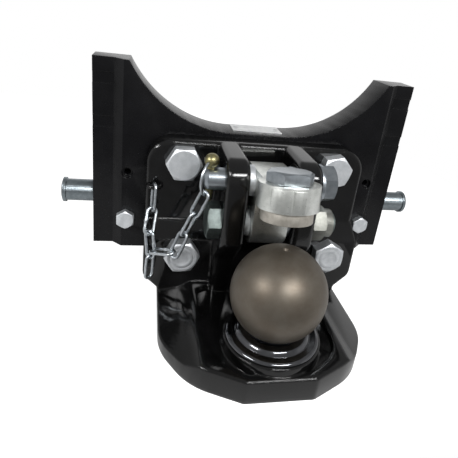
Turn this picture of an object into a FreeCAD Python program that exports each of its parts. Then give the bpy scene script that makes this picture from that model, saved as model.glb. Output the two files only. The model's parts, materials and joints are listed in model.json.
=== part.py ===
import FreeCAD, Part
import Sketcher
import math
import os

# Slide-in carrier plate with an 80 mm tow ball, a hinged hold-down and its locking pin.
# Frame: origin at the centre of the ball, X across, Y from the ball towards the plate, Z up. Millimetres.

Vector = FreeCAD.Vector
Rotation = FreeCAD.Rotation

SIZES = {
    # Tow ball, its collar and the shank that holds it in the bracket
    "ball_diameter": 80.0,
    "neck_diameter": 46.0,
    "collar_diameter": 80.0,
    "collar_top_drop": 34.0,
    "collar_lip_drop": 38.8,
    "collar_lip_height": 2.2,
    "collar_step": 1.5,
    "collar_seat_drop": 42.0,
    "shank_diameter": 38.0,
    "shank_thread_diameter": 36.0,
    "shank_clearance": 0.1,
    "centre_drill_diameter": 5.0,
    "centre_drill_depth": 3.0,
    "ball_nut_flats": 55.0,
    "ball_nut_height": 13.0,
    "nut_recess_diameter": 72.0,
    "nut_recess_depth": 16.0,
    "shank_end_gap": 1.0,
    # Ball bracket casting
    "bracket_half_width": 109.0,
    "bracket_top": 91.0,
    "bracket_back": 130.0,
    "flange_thickness": 20.0,
    "lower_body_thickness": 39.0,
    "slope_top": 11.0,
    "slope_bottom": -2.4,
    "flange_corner_radius": 24.0,
    "wing_corner_height": -42.0,
    "wing_foot_height": -57.0,
    "wing_corner_radius": 12.0,
    "shelf_top_drop": 50.0,
    "shelf_thickness": 22.0,
    "shelf_half_width": 94.0,
    "shelf_front_half_width": 29.0,
    "shelf_front_reach": 44.5,
    "shelf_corner_x": 71.0,
    "shelf_corner_y": -23.0,
    "shelf_side_y": 18.0,
    "shelf_corner_radius": 62.0,
    "shelf_front_radius": 8.0,
    "ridge_half_width": 62.0,
    "shoulder_half_width": 74.0,
    "shoulder_drop": 7.0,
    "side_edge_drop": 11.0,
    "recess_half_width": 57.0,
    "recess_front_reach": 38.0,
    "recess_front_half_width": 26.0,
    "recess_corner_y": -14.0,
    "recess_radius": 40.0,
    "recess_back_y": 84.0,
    "recess_depth": 4.0,
    "pedestal_diameter": 83.0,
    "casting_edge_radius": 4.0,
    "cheek_edge_radius": 5.0,
    # Cheeks that carry the hold-down
    "cheek_inner_half_gap": 22.0,
    "cheek_thickness": 21.0,
    "cheek_top": 91.0,
    "cheek_nose_radius": 20.0,
    "cheek_front_lower_radius": 12.0,
    "cheek_waist_height": 12.0,
    "cheek_waist_y": 71.0,
    "cheek_foot_y": 79.0,
    "pin_row_y": 70.0,
    "locking_pin_height": 70.0,
    "pivot_height": 30.0,
    # Carrier plate
    "plate_half_width": 160.0,
    "plate_top": 155.6,
    "plate_bottom": -32.0,
    "plate_thickness": 38.6,
    "rail_setback": 8.7,
    "rail_inner_half_width": 132.0,
    "rail_bevel_width": 9.0,
    "saddle_floor": 95.3,
    "saddle_flat_half_width": 26.4,
    "saddle_radius": 114.5,
    "plate_edge_chamfer": 1.5,
    "rail_band_height": 10.0,
    "rail_band_upper": 137.0,
    "rail_band_lower": 96.5,
    "rail_band_depth": 1.0,
    "side_hole_diameter": 6.5,
    "side_hole_sink_diameter": 11.0,
    "side_hole_sink_depth": 4.0,
    "side_hole_x": 127.0,
    "side_hole_z": 49.0,
    "side_hole_depth": 20.0,
    # Side pins and the screws below them
    "side_pin_diameter": 22.0,
    "side_pin_clearance": 0.05,
    "side_pin_y": 153.7,
    "side_pin_z": 19.4,
    "side_pin_reach": 31.0,
    "side_pin_inside": 62.0,
    "side_pin_bore_spare": 1.0,
    "side_pin_collar_diameter": 25.0,
    "side_pin_collar_width": 4.5,
    "side_pin_dome": 1.2,
    "side_bolt_diameter": 10.0,
    "side_bolt_length": 24.0,
    "side_bolt_flats": 17.0,
    "side_bolt_head": 7.0,
    "side_bolt_from_bracket": 19.0,
    "side_bolt_z": 0.5,
    # Nameplate on the flat of the saddle
    "nameplate_half_length": 25.5,
    "nameplate_width": 25.0,
    "nameplate_front": 139.5,
    "nameplate_thickness": 1.0,
    "rivet_diameter": 3.2,
    "rivet_head_diameter": 5.0,
    "rivet_head_height": 1.0,
    "rivet_length": 6.0,
    "rivet_inset": 4.0,
    # M20 bolts through the bracket into the plate
    "bolt_diameter": 20.0,
    "bolt_hole_clearance": 0.5,
    "bolt_flats": 30.0,
    "bolt_head": 12.5,
    "bolt_plate_depth": 34.0,
    "bolt_half_spacing": 75.0,
    "upper_bolt_height": 70.6,
    "lower_bolt_height": -16.0,
    "lower_bolt_shift": 2.0,
    # Pivot bolt, locking pin and their hardware
    "pin_diameter": 20.0,
    "pin_running_clearance": 0.05,
    "pivot_nut_height": 14.0,
    "pivot_nut_collar_height": 6.5,
    "pivot_nut_collar_diameter": 27.0,
    "pivot_thread_end": 3.0,
    "locking_washer_diameter": 36.0,
    "locking_washer_thickness": 3.5,
    "locking_pin_end": 60.0,
    "locking_pin_chamfer": 3.0,
    "lynch_x": -54.5,
    "lynch_diameter": 7.0,
    "lynch_clearance": 0.3,
    "lynch_top": 82.0,
    "lynch_tip": 49.0,
    "lynch_taper": 9.0,
    "lynch_tip_diameter": 4.0,
    "lynch_head_diameter": 13.0,
    "lynch_head_height": 86.5,
    "ring_radius": 16.0,
    "ring_wire": 2.6,
    "ring_hole_clearance": 0.3,
    "ring_turn": 36.0,
    "ring_hook_angle": 62.0,
    # Hold-down arm, bushes, screw and pad
    "arm_half_width": 16.3,
    "arm_lobe_radius": 20.0,
    "arm_lobe_corner": 19.6,
    "arm_front_y": 50.0,
    "arm_back_y": 90.0,
    "arm_tail_y": 97.0,
    "arm_tail_top": 80.0,
    "arm_tail_bottom": 54.0,
    "arm_tail_radius": 6.0,
    "arm_neck_radius": 4.0,
    "hold_down_tilt": 10.0,
    "hold_down_y": 17.6,
    "boss_diameter": 49.7,
    "boss_top": 89.6,
    "boss_height": 20.0,
    "neck_root_y": 22.0,
    "neck_top_root": 87.6,
    "neck_top_y": 44.0,
    "neck_top": 84.6,
    "neck_bottom_root": 69.6,
    "neck_bottom": 64.0,
    "panel_left": -19.0,
    "panel_split": -3.7,
    "panel_right": 6.6,
    "panel_gap": 0.8,
    "panel_margin": 2.0,
    "panel_height": 0.6,
    "screw_diameter": 22.0,
    "screw_flats": 34.0,
    "screw_head": 9.4,
    "screw_washer_height": 0.6,
    "screw_grip_in_pad": 7.0,
    "boss_bore_clearance": 0.5,
    "pad_diameter": 42.4,
    "pad_thickness": 10.2,
    "bush_outer_diameter": 24.0,
    "bush_flange_diameter": 28.0,
    "bush_flange_thickness": 5.6,
    "bush_length": 12.0,
    "bush_side_gap": 0.1,
    # Chain and the eye that holds it
    "link_wire": 3.0,
    "link_pitch": 22.5,
    "link_width": 12.0,
    "link_slack": 0.3,
    "eye_wire": 4.0,
    "eye_half_span": 6.0,
    "eye_reach": 8.0,
    "eye_from_bracket_end": 8.0,
    "strand_end_x": -101.0,
    "eye_z": 46.0,
}

doc = FreeCAD.newDocument("ball_hitch")
sheet = doc.addObject("Spreadsheet::Sheet", "Sizes")
for row, (alias, number) in enumerate(SIZES.items(), start=1):
    sheet.set("A%d" % row, alias)
    sheet.set("B%d" % row, str(number))
    sheet.setAlias("B%d" % row, alias)
doc.recompute()


class Size:
    """A length with its value and the spreadsheet expression that gives it."""

    def __init__(self, value, text):
        self.value = float(value)
        self.text = text

    def __add__(self, other):
        other = as_size(other)
        return Size(self.value + other.value, "(%s + %s)" % (self.text, other.text))

    def __sub__(self, other):
        other = as_size(other)
        return Size(self.value - other.value, "(%s - %s)" % (self.text, other.text))

    def __mul__(self, other):
        other = as_size(other)
        return Size(self.value * other.value, "(%s * %s)" % (self.text, other.text))

    def __truediv__(self, other):
        other = as_size(other)
        return Size(self.value / other.value, "(%s / %s)" % (self.text, other.text))

    def __neg__(self):
        return Size(-self.value, "(0 - %s)" % self.text)

    __radd__ = __add__

    def __rsub__(self, other):
        return as_size(other) - self

    __rmul__ = __mul__


def as_size(thing):
    if isinstance(thing, Size):
        return thing
    return Size(thing, "(%.9f)" % thing)


class Sheet:
    """Gives each spreadsheet cell by its alias, as a Size."""

    def __getattr__(self, alias):
        return Size(float(sheet.get(alias)), "Sizes." + alias)


S = Sheet()
parts = {}


def bind(thing, **sizes):
    """Ties properties to sizes; Base_x stands for Placement.Base.x."""
    for path, size in sizes.items():
        if path.startswith("Base_"):
            path = "Placement.Base." + path[-1]
        thing.setExpression(path, as_size(size).text)
    return thing


def finish_part(thing, label):
    """Registers a finished sub-part under the name of its file."""
    thing.Label = label
    parts[label] = thing
    return thing


def vec(*sizes):
    return Vector(*[as_size(size).value for size in sizes])


# Sketches on the origin planes of a body

PLANE_SHIFT = {"XY_Plane": 1.0, "XZ_Plane": -1.0, "YZ_Plane": 1.0}


def new_sketch(body, name, plane, level):
    """A sketch on one of the body's own origin planes, moved along its normal to the level."""
    sketch = body.newObject("Sketcher::SketchObject", name)
    origin = [one for one in body.Origin.OriginFeatures if one.Role == plane][0]
    sketch.AttachmentSupport = (origin, "")
    sketch.MapMode = "FlatFace"
    sketch.setExpression("AttachmentOffset.Base.z", (as_size(level) * PLANE_SHIFT[plane]).text)
    doc.recompute()
    return sketch


def rule(kind, *arguments, size=None):
    """A sketch constraint with the size that drives it, or none."""
    if size is None:
        return Sketcher.Constraint(kind, *arguments), None
    size = as_size(size)
    return Sketcher.Constraint(kind, *arguments, size.value), size


def apply_rules(sketch, rules):
    """Adds all constraints at once, so that the drawn outline already satisfies them."""
    numbers = sketch.addConstraint([constraint for constraint, size in rules])
    for number, (constraint, size) in zip(numbers, rules):
        if size is not None:
            sketch.setExpression("Constraints[%d]" % number, size.text)
    doc.recompute()


def point_rules(geometry, end, u, v):
    """Fixes a point by its distances from the sketch's origin, or on an axis."""
    rules = []
    for kind, axis, size in (("DistanceX", -2, as_size(u)), ("DistanceY", -1, as_size(v))):
        if abs(size.value) < 1e-9:
            rules.append(rule("PointOnObject", geometry, end, axis))
        else:
            rules.append(rule(kind, -1, 1, geometry, end, size=size))
    return rules


def corner_arc(centre, one, two):
    """The short arc from one point to the other, with whether it runs that way round."""
    radius = (one - centre).Length
    first = math.atan2(one.y - centre.y, one.x - centre.x)
    last = math.atan2(two.y - centre.y, two.x - centre.x)
    forward = (last - first) % (2 * math.pi) < math.pi
    if not forward:
        first, last = last, first
    if last < first:
        last = last + 2 * math.pi
    return Part.ArcOfCircle(Part.Circle(centre, Vector(0, 0, 1), radius), first, last), forward


def outline_sketch(body, name, plane, level, corners):
    """A closed outline of lines. A corner is (u, v) when sharp and (u, v, radius) when rounded."""
    sketch = new_sketch(body, name, plane, level)
    count = len(corners)
    points = [vec(corner[0], corner[1], 0) for corner in corners]
    starts, ends, centres = [], [], []
    for index, corner in enumerate(corners):
        here, before, after = points[index], points[index - 1], points[(index + 1) % count]
        if len(corner) == 2:
            starts.append(here)
            ends.append(here)
            centres.append(None)
            continue
        radius = as_size(corner[2]).value
        inward = (before - here).normalize()
        outward = (after - here).normalize()
        half = inward.getAngle(outward) / 2
        run = radius / math.tan(half)
        ends.append(here + inward * run)
        starts.append(here + outward * run)
        centres.append(here + (inward + outward).normalize() * (radius / math.sin(half)))
    lines = []
    for index in range(count):
        line = Part.LineSegment(starts[index], ends[(index + 1) % count])
        lines.append(sketch.addGeometry(line, False))
    rules = []
    for index, corner in enumerate(corners):
        line_in, line_out = lines[index - 1], lines[index]
        if len(corner) == 2:
            rules.append(rule("Coincident", line_in, 2, line_out, 1))
            rules.extend(point_rules(line_out, 1, corner[0], corner[1]))
            continue
        curve, forward = corner_arc(centres[index], ends[index], starts[index])
        arc = sketch.addGeometry(curve, False)
        first, last = (1, 2) if forward else (2, 1)
        mark = sketch.addGeometry(Part.Point(points[index]), True)
        rules.append(rule("Tangent", line_in, 2, arc, first))
        rules.append(rule("Tangent", arc, last, line_out, 1))
        rules.append(rule("Radius", arc, size=as_size(corner[2])))
        rules.append(rule("PointOnObject", mark, 1, line_in))
        rules.append(rule("PointOnObject", mark, 1, line_out))
        rules.extend(point_rules(mark, 1, corner[0], corner[1]))
    apply_rules(sketch, rules)
    return sketch


def circle_sketch(body, name, plane, level, circles):
    """Circles given as (u, v, diameter)."""
    sketch = new_sketch(body, name, plane, level)
    rules = []
    for u, v, diameter in circles:
        radius = as_size(diameter) / 2
        circle = sketch.addGeometry(Part.Circle(vec(u, v, 0), Vector(0, 0, 1), radius.value), False)
        rules.append(rule("Radius", circle, size=radius))
        rules.extend(point_rules(circle, 3, u, v))
    apply_rules(sketch, rules)
    return sketch


def pad(body, sketch, length):
    """Adds material along the sketch's normal: +Z, -Y or +X."""
    feature = body.newObject("PartDesign::Pad", sketch.Name + "_pad")
    feature.Profile = sketch
    bind(feature, Length=length)
    doc.recompute()
    return feature


def pocket(body, sketch, depth):
    """Cuts against the sketch's normal: -Z, +Y or -X, and checks that it cut something."""
    before = body.Shape.Volume
    feature = body.newObject("PartDesign::Pocket", sketch.Name + "_pocket")
    feature.Profile = sketch
    bind(feature, Length=depth)
    doc.recompute()
    if body.Shape.Volume > before - 1e-3:
        raise RuntimeError("the pocket %s cuts nothing" % feature.Name)
    return feature


def round_edges(body, radius, wanted, kind="PartDesign::Fillet"):
    """Rounds the edges of the body's tip that the test picks."""
    tip = body.Tip
    names = ["Edge%d" % (number + 1) for number, edge in enumerate(tip.Shape.Edges) if wanted(edge)]
    feature = body.newObject(kind, tip.Name + "_edges")
    feature.Base = (tip, names)
    bind(feature, **{"Radius" if kind.endswith("Fillet") else "Size": radius})
    doc.recompute()
    if not names or not feature.isValid():
        raise RuntimeError("%s rounds nothing" % feature.Name)
    return feature


def mirrored(corners):
    """The outline's right half followed by its mirror image, in order round the outline."""
    left = [(-corner[0],) + tuple(corner[1:]) for corner in reversed(corners)]
    return list(corners) + left


def new_body(label):
    return finish_part(doc.addObject("PartDesign::Body", label), label)


# Primitives and booleans


def cylinder(diameter, length, base=(0, 0, 0)):
    piece = doc.addObject("Part::Cylinder", "Cylinder")
    return bind(piece, Radius=as_size(diameter) / 2, Height=length,
                Base_x=base[0], Base_y=base[1], Base_z=base[2])


def cone(lower, upper, length, base_z=0):
    piece = doc.addObject("Part::Cone", "Cone")
    return bind(piece, Radius1=as_size(lower) / 2, Radius2=as_size(upper) / 2, Height=length, Base_z=base_z)


def hexagon(flats, length, base_z=0):
    piece = doc.addObject("Part::Prism", "Prism")
    piece.Polygon = 6
    return bind(piece, Circumradius=as_size(flats) / math.sqrt(3), Height=length, Base_z=base_z)


def fuse(*pieces):
    joined = doc.addObject("Part::MultiFuse", "Fusion")
    joined.Shapes = list(pieces)
    joined.Refine = True
    return joined


def cut(base, tool):
    result = doc.addObject("Part::Cut", "Cut")
    result.Base = base
    result.Tool = tool
    return result


def common(base, tool):
    result = doc.addObject("Part::Common", "Common")
    result.Base = base
    result.Tool = tool
    return result


def place(piece, x, y, z, rotation=Rotation()):
    """Puts a finished piece at its place in the assembly."""
    piece.Placement = FreeCAD.Placement(Vector(), rotation)
    return bind(piece, Base_x=x, Base_y=y, Base_z=z)


FACING_FRONT = Rotation(Vector(1, 0, 0), 90)
FACING_RIGHT = Rotation(Vector(0, 1, 0), 90)
FACING_LEFT = Rotation(Vector(0, 1, 0), -90)
HEX_BEVEL = 2 * math.sqrt(3)


def hex_head(flats, height, base_z=0):
    """A hexagon head whose outer corners are turned off at 30 degrees."""
    bevel = cone(as_size(flats) * 0.95 + as_size(height) * HEX_BEVEL, as_size(flats) * 0.95, height, base_z)
    return common(hexagon(flats, height, base_z), bevel)


def hex_screw(diameter, length, flats, head):
    """Head on +Z of its seat, shank on -Z."""
    shank = cylinder(diameter, as_size(length) + 1, (0, 0, -as_size(length)))
    return fuse(hex_head(flats, head), shank)


def turned(rotation, spin):
    """The rotation after the piece has been turned about its own axis."""
    return rotation.multiply(Rotation(Vector(0, 0, 1), spin))


# Tow ball: sphere, flared collar, shank with a centre drilling on the pole


def make_tow_ball():
    sphere = bind(doc.addObject("Part::Sphere", "Sphere"), Radius=S.ball_diameter / 2)
    flare_height = S.collar_lip_drop - S.collar_top_drop
    flare = cone(S.collar_diameter - S.collar_step * 2, S.neck_diameter, flare_height, -S.collar_lip_drop)
    neck = cylinder(S.neck_diameter, flare_height + S.collar_top_drop / 8, (0, 0, -S.collar_lip_drop))
    lip = cylinder(S.collar_diameter, S.collar_lip_height, (0, 0, -S.collar_lip_drop - S.collar_lip_height))
    step = cylinder(S.collar_diameter - S.collar_step * 2, S.collar_seat_drop - S.collar_lip_drop,
                    (0, 0, -S.collar_seat_drop))
    web_bottom = S.shelf_top_drop + S.shelf_thickness - S.nut_recess_depth
    shank = cylinder(S.shank_diameter, web_bottom - S.collar_lip_drop, (0, 0, -web_bottom))
    thread_end = S.shelf_top_drop + S.shelf_thickness - S.shank_end_gap
    thread = cylinder(S.shank_thread_diameter, thread_end - S.collar_lip_drop, (0, 0, -thread_end))
    drill = cone(1, S.centre_drill_diameter, S.centre_drill_depth, S.ball_diameter / 2 - S.centre_drill_depth)
    finish_part(cut(fuse(sphere, flare, neck, lip, step, shank, thread), drill), "tow_ball")


def make_ball_nut():
    nut = cut(hex_head(S.ball_nut_flats, S.ball_nut_height), cylinder(S.shank_thread_diameter, S.ball_nut_height))
    web_bottom = S.shelf_top_drop + S.shelf_thickness - S.nut_recess_depth
    finish_part(nut, "ball_nut")
    place(nut, 0, 0, -web_bottom, Rotation(Vector(1, 0, 0), 180))


# Ball bracket: one casting with a bolting flange, a shelf for the ball and two cheeks


def make_bracket_base():
    """The casting without its cheeks."""
    body = doc.addObject("PartDesign::Body", "bracket_base")
    flange_front = S.bracket_back - S.flange_thickness
    body_front = S.bracket_back - S.lower_body_thickness
    bottom = -S.shelf_top_drop - S.shelf_thickness
    half = S.bracket_half_width
    outline = mirrored([
        (half, S.bracket_top, S.flange_corner_radius),
        (half, S.wing_corner_height, S.wing_corner_radius),
        (S.shelf_half_width, S.wing_foot_height, S.wing_corner_radius / 2),
        (S.shelf_half_width, bottom),
    ])
    pad(body, outline_sketch(body, "front_outline", "XZ_Plane", S.bracket_back, outline), S.lower_body_thickness)
    over = S.bracket_top + 10
    in_front = body_front - 10
    slope = [(flange_front, over), (flange_front, S.slope_top), (body_front, S.slope_bottom),
             (in_front, S.slope_bottom), (in_front, over)]
    pocket(body, outline_sketch(body, "flange_relief", "YZ_Plane", half + 1, slope), half * 2 + 2)

    shelf = mirrored([
        (S.shelf_front_half_width, -S.shelf_front_reach, S.shelf_front_radius),
        (S.shelf_corner_x, S.shelf_corner_y, S.shelf_corner_radius),
        (S.shelf_half_width, S.shelf_side_y, S.shelf_corner_radius),
        (S.shelf_half_width, flange_front),
    ])
    pad(body, outline_sketch(body, "shelf_outline", "XY_Plane", bottom, shelf), S.shelf_thickness)
    level = -S.shelf_top_drop
    front = -S.shelf_front_reach - 1
    for side, name in ((1, "right_shoulder"), (-1, "left_shoulder")):
        wedge = [(S.ridge_half_width * side, level),
                 (S.shoulder_half_width * side, level - S.shoulder_drop),
                 ((S.shelf_half_width + 1) * side, level - S.side_edge_drop),
                 ((S.shelf_half_width + 1) * side, level + 1),
                 (S.ridge_half_width * side, level + 1)]
        pocket(body, outline_sketch(body, name, "XZ_Plane", front, wedge), body_front - front)

    recess = mirrored([
        (S.recess_front_half_width, -S.recess_front_reach, S.recess_radius),
        (S.recess_half_width, S.recess_corner_y, S.recess_radius),
        (S.recess_half_width, S.recess_back_y, S.wing_corner_radius),
    ])
    pocket(body, outline_sketch(body, "recess", "XY_Plane", level, recess), S.recess_depth)
    floor = level - S.recess_depth
    pedestal = circle_sketch(body, "pedestal", "XY_Plane", floor, [(0, 0, S.pedestal_diameter)])
    pad(body, pedestal, -S.collar_seat_drop - floor)

    # Rounded edges of the casting, picked by where they lie
    def at(value, size):
        return abs(value - as_size(size).value) < 0.01

    def flange_front_edge(edge):
        box = edge.BoundBox
        on_face = at(box.YMin, flange_front) and at(box.YMax, flange_front)
        return on_face and box.ZMax > S.slope_top.value + 1

    def shelf_rim_edge(edge):
        box = edge.BoundBox
        return at(box.ZMin, level) and at(box.ZMax, level) and box.YMin < -S.pedestal_diameter.value / 2 - 1

    round_edges(body, S.casting_edge_radius, flange_front_edge)
    round_edges(body, S.casting_edge_radius / 2, shelf_rim_edge)
    holes = [(x, z, S.bolt_diameter + S.bolt_hole_clearance * 2) for x, z in bolt_places()]
    pocket(body, circle_sketch(body, "bolt_holes", "XZ_Plane", body_front - 1, holes), S.lower_body_thickness + 2)
    seat = -S.collar_seat_drop
    shank = circle_sketch(body, "shank_bore", "XY_Plane", seat,
                          [(0, 0, S.shank_diameter + S.shank_clearance * 2)])
    pocket(body, shank, seat - bottom + 1)
    web_bottom = bottom + S.nut_recess_depth
    pocket(body, circle_sketch(body, "nut_recess", "XY_Plane", web_bottom, [(0, 0, S.nut_recess_diameter)]),
           S.nut_recess_depth + 1)
    return body


def make_cheek():
    """The right cheek, rounded all along its front, with the bores of both pins."""
    body = doc.addObject("PartDesign::Body", "cheek")
    root = S.bracket_back - S.flange_thickness + S.casting_edge_radius + 1
    floor = -S.shelf_top_drop - S.recess_depth
    nose = S.cheek_nose_radius
    front = S.pin_row_y - nose
    bend = S.cheek_front_lower_radius
    profile = [(root, S.cheek_top), (front, S.cheek_top, nose), (front, S.cheek_waist_height, bend),
               (S.cheek_waist_y, -S.cheek_waist_height, bend), (S.cheek_foot_y, floor - 2), (root, floor - 2)]
    inner = S.cheek_inner_half_gap
    pad(body, outline_sketch(body, "cheek_profile", "YZ_Plane", inner, profile), S.cheek_thickness)

    def front_edge(edge):
        box = edge.BoundBox
        flat = abs(box.XMax - box.XMin) < 0.01
        return flat and box.YMin < root.value - 0.01 and box.ZMax > floor.value

    round_edges(body, S.cheek_edge_radius, front_edge)
    bore = S.pin_diameter + S.pin_running_clearance * 2
    pins = [(S.pin_row_y, S.locking_pin_height, bore), (S.pin_row_y, S.pivot_height, bore)]
    pocket(body, circle_sketch(body, "pin_bores", "YZ_Plane", cheek_outer() + 1, pins), S.cheek_thickness + 2)
    return body


def make_ball_bracket():
    """The whole casting: base, right cheek and its mirror image."""
    base = make_bracket_base()
    cheek = make_cheek()
    other = doc.addObject("Part::Mirroring", "other_cheek")
    other.Source = cheek
    other.Normal = Vector(1, 0, 0)
    finish_part(fuse(base, cheek, other), "ball_bracket")


def bolt_places():
    """Upper pair, then the lower pair, left one first."""
    spread = S.bolt_half_spacing
    return [(-spread, S.upper_bolt_height), (spread, S.upper_bolt_height),
            (-spread + S.lower_bolt_shift, S.lower_bolt_height),
            (spread + S.lower_bolt_shift, S.lower_bolt_height)]


# Carrier plate: guide rails at the sides, a round saddle for the shaft above the hitch


def make_carrier_plate():
    body = new_body("carrier_plate")
    back = S.bracket_back + S.plate_thickness
    half = S.plate_half_width
    height = S.plate_top - S.plate_bottom
    outline = mirrored([(half, S.plate_top), (half, S.plate_bottom)])
    pad(body, outline_sketch(body, "plate_outline", "XZ_Plane", back, outline), S.plate_thickness)
    above = S.saddle_floor + S.saddle_radius + 20
    saddle_side = S.saddle_flat_half_width + S.saddle_radius
    saddle = mirrored([(saddle_side, S.saddle_floor, S.saddle_radius), (saddle_side, above)])
    pocket(body, outline_sketch(body, "saddle", "XZ_Plane", S.bracket_back - 1, saddle), S.plate_thickness + 2)
    rail_front = S.bracket_back + S.rail_setback
    for side, name in ((1, "right_rail"), (-1, "left_rail")):
        inner = S.rail_inner_half_width
        step = [(inner * side, S.bracket_back), ((inner + S.rail_bevel_width) * side, rail_front),
                ((half + 1) * side, rail_front), ((half + 1) * side, S.bracket_back - 1),
                (inner * side, S.bracket_back - 1)]
        pocket(body, outline_sketch(body, name, "XY_Plane", S.plate_top + 1, step), height + 2)
        for middle, band in ((S.rail_band_upper, "upper_band"), (S.rail_band_lower, "lower_band")):
            low = middle - S.rail_band_height / 2
            high = middle + S.rail_band_height / 2
            start = inner + S.rail_bevel_width
            strip = [(start * side, low), ((half + 1) * side, low), ((half + 1) * side, high), (start * side, high)]
            pocket(body, outline_sketch(body, name + "_" + band, "XZ_Plane", rail_front - 1, strip),
                   S.rail_band_depth + 1)

    def outer_edge(edge):
        box = edge.BoundBox
        deep = box.YMax - box.YMin > 1
        return not deep and box.YMax > back.value - 0.01

    round_edges(body, S.plate_edge_chamfer, outer_edge, "PartDesign::Chamfer")
    bolts = [(x, z, S.bolt_diameter) for x, z in bolt_places()]
    pocket(body, circle_sketch(body, "bolt_threads", "XZ_Plane", S.bracket_back - 1, bolts),
           S.bolt_plate_depth + 2)
    spots = [(side_bolt_x() * side, S.side_bolt_z, S.side_bolt_diameter) for side in (-1, 1)]
    pocket(body, circle_sketch(body, "side_threads", "XZ_Plane", S.bracket_back - 1, spots),
           S.side_bolt_length + 2)
    for side, name in ((-1, "left_hole"), (1, "right_hole")):
        x = S.side_hole_x * side
        pocket(body, circle_sketch(body, name, "XZ_Plane", S.bracket_back - 1,
                                   [(x, S.side_hole_z, S.side_hole_diameter)]), S.side_hole_depth + 1)
        pocket(body, circle_sketch(body, name + "_sink", "XZ_Plane", S.bracket_back - 1,
                                   [(x, S.side_hole_z, S.side_hole_sink_diameter)]),
               S.side_hole_sink_depth + 1)
    bore = S.side_pin_diameter + S.side_pin_clearance * 2
    depth = S.side_pin_inside + S.side_pin_bore_spare
    pin = [(S.side_pin_y, S.side_pin_z, bore)]
    pocket(body, circle_sketch(body, "right_pin_bore", "YZ_Plane", half + 1, pin), depth + 1)
    pocket(body, circle_sketch(body, "left_pin_bore", "YZ_Plane", depth - half, pin), depth + 1)
    rivets = [((S.nameplate_half_length - S.rivet_inset) * side, nameplate_middle(), S.rivet_diameter)
              for side in (-1, 1)]
    pocket(body, circle_sketch(body, "rivet_holes", "XY_Plane", S.saddle_floor + 1, rivets), S.rivet_length + 1)


def nameplate_middle():
    return S.nameplate_front + S.nameplate_width / 2


def make_nameplate():
    body = new_body("nameplate")
    low = S.nameplate_front
    high = low + S.nameplate_width
    half = S.nameplate_half_length
    outline = [(half, low), (half, high), (-half, high), (-half, low)]
    pad(body, outline_sketch(body, "plate", "XY_Plane", S.saddle_floor, outline), S.nameplate_thickness)
    rivets = [((half - S.rivet_inset) * side, nameplate_middle(), S.rivet_diameter) for side in (-1, 1)]
    top = S.saddle_floor + S.nameplate_thickness
    pocket(body, circle_sketch(body, "rivet_holes_in_plate", "XY_Plane", top, rivets), S.nameplate_thickness)


def make_rivets():
    top = S.saddle_floor + S.nameplate_thickness
    shank_end = S.rivet_length - S.nameplate_thickness / 2
    for side, name in ((-1, "left"), (1, "right")):
        shank = cylinder(S.rivet_diameter, shank_end + S.rivet_head_height / 2, (0, 0, -shank_end))
        dome = cone(S.rivet_head_diameter, S.rivet_head_diameter * 0.6, S.rivet_head_height)
        rivet = finish_part(fuse(shank, dome), "nameplate_rivet_" + name)
        place(rivet, (S.nameplate_half_length - S.rivet_inset) * side, nameplate_middle(), top)


# Screws, pins and nuts


def make_flange_bolts():
    spins = {"upper_left": 0, "upper_right": 12, "lower_left": 3, "lower_right": 30}
    fronts = [S.flange_thickness, S.flange_thickness, S.lower_body_thickness, S.lower_body_thickness]
    for (name, spin), (x, z), grip in zip(spins.items(), bolt_places(), fronts):
        screw = hex_screw(S.bolt_diameter, grip + S.bolt_plate_depth, S.bolt_flats, S.bolt_head)
        finish_part(screw, "flange_bolt_" + name)
        place(screw, x, S.bracket_back - grip, z, turned(FACING_FRONT, spin))


def side_bolt_x():
    return S.bracket_half_width + S.side_bolt_from_bracket


def make_side_bolts():
    for side, name in ((-1, "left"), (1, "right")):
        screw = hex_screw(S.side_bolt_diameter, S.side_bolt_length, S.side_bolt_flats, S.side_bolt_head)
        finish_part(screw, "side_bolt_" + name)
        place(screw, side_bolt_x() * side, S.bracket_back, S.side_bolt_z, turned(FACING_FRONT, 30))


def make_side_pins():
    """Plain pins with a lip and a slightly domed end, pushed into the ends of the plate."""
    for side, name, rotation in ((-1, "left", FACING_LEFT), (1, "right", FACING_RIGHT)):
        collar_start = S.side_pin_reach - S.side_pin_collar_width
        shaft = cylinder(S.side_pin_diameter, S.side_pin_inside + S.side_pin_reach - S.side_pin_dome,
                         (0, 0, -S.side_pin_inside))
        collar = cylinder(S.side_pin_collar_diameter, S.side_pin_collar_width - S.side_pin_dome,
                          (0, 0, collar_start))
        dome = cone(S.side_pin_collar_diameter, S.side_pin_diameter * 0.8, S.side_pin_dome,
                    S.side_pin_reach - S.side_pin_dome)
        pin = finish_part(fuse(shaft, collar, dome), "side_pin_" + name)
        place(pin, S.plate_half_width * side, S.side_pin_y, S.side_pin_z, rotation)


def cheek_outer():
    return S.cheek_inner_half_gap + S.cheek_thickness


def make_pivot():
    """Hinge bolt of the hold-down, with its head on the left and a locking nut on the right."""
    outer = cheek_outer()
    nut_length = S.pivot_nut_height + S.pivot_nut_collar_height
    length = outer * 2 + nut_length + S.pivot_thread_end
    bolt = finish_part(hex_screw(S.pin_diameter, length, S.bolt_flats, S.bolt_head), "pivot_bolt")
    place(bolt, -outer, S.pin_row_y, S.pivot_height, turned(FACING_LEFT, 30))
    collar = cylinder(S.pivot_nut_collar_diameter, nut_length)
    nut = cut(fuse(hex_head(S.bolt_flats, S.pivot_nut_height), collar), cylinder(S.pin_diameter, nut_length))
    finish_part(nut, "pivot_nut")
    place(nut, outer, S.pin_row_y, S.pivot_height, turned(FACING_RIGHT, 30))


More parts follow.
